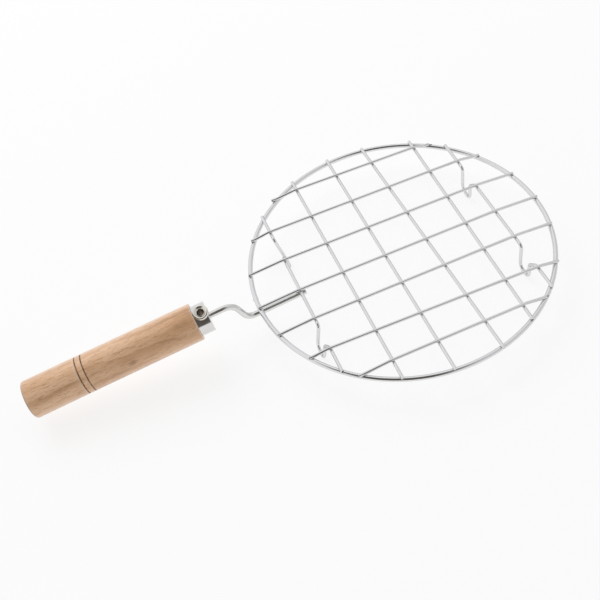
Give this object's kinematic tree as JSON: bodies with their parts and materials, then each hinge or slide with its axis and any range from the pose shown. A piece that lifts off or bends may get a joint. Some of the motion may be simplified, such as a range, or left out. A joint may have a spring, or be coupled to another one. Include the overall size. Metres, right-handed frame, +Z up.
{
  "type": "grill rack",
  "caption": "Round flat wire grill rack on short bent-wire feet, with a cranked steel rod and a turned wooden handle held by a hollow rivet.",
  "frame": {"origin": "centre of the rim ring, on the surface that the four feet stand on", "axes": "+X along the long wires, away from the handle; +Y across the rack; +Z up"},
  "size_m": [0.3945, 0.2234, 0.0481],
  "materials": {
    "steel_wire": "bright drawn stainless wire",
    "polished_steel": "polished pressed stainless sheet",
    "beech": "turned and sanded beech, unvarnished"
  },
  "bodies": {
    "root": {"rim_ring": "steel_wire", "long_wire_1": "steel_wire", "long_wire_2": "steel_wire", "long_wire_3": "steel_wire", "long_wire_4": "steel_wire", "long_wire_5": "steel_wire", "long_wire_6": "steel_wire", "long_wire_7": "steel_wire", "cross_wire_1": "steel_wire", "cross_wire_2": "steel_wire", "cross_wire_3": "steel_wire", "cross_wire_4": "steel_wire", "cross_wire_5": "steel_wire", "cross_wire_6": "steel_wire", "handle_rod": "steel_wire", "ferrule": "polished_steel", "wood_handle": "beech", "hollow_rivet": "polished_steel"}
  },
  "joints": []
}
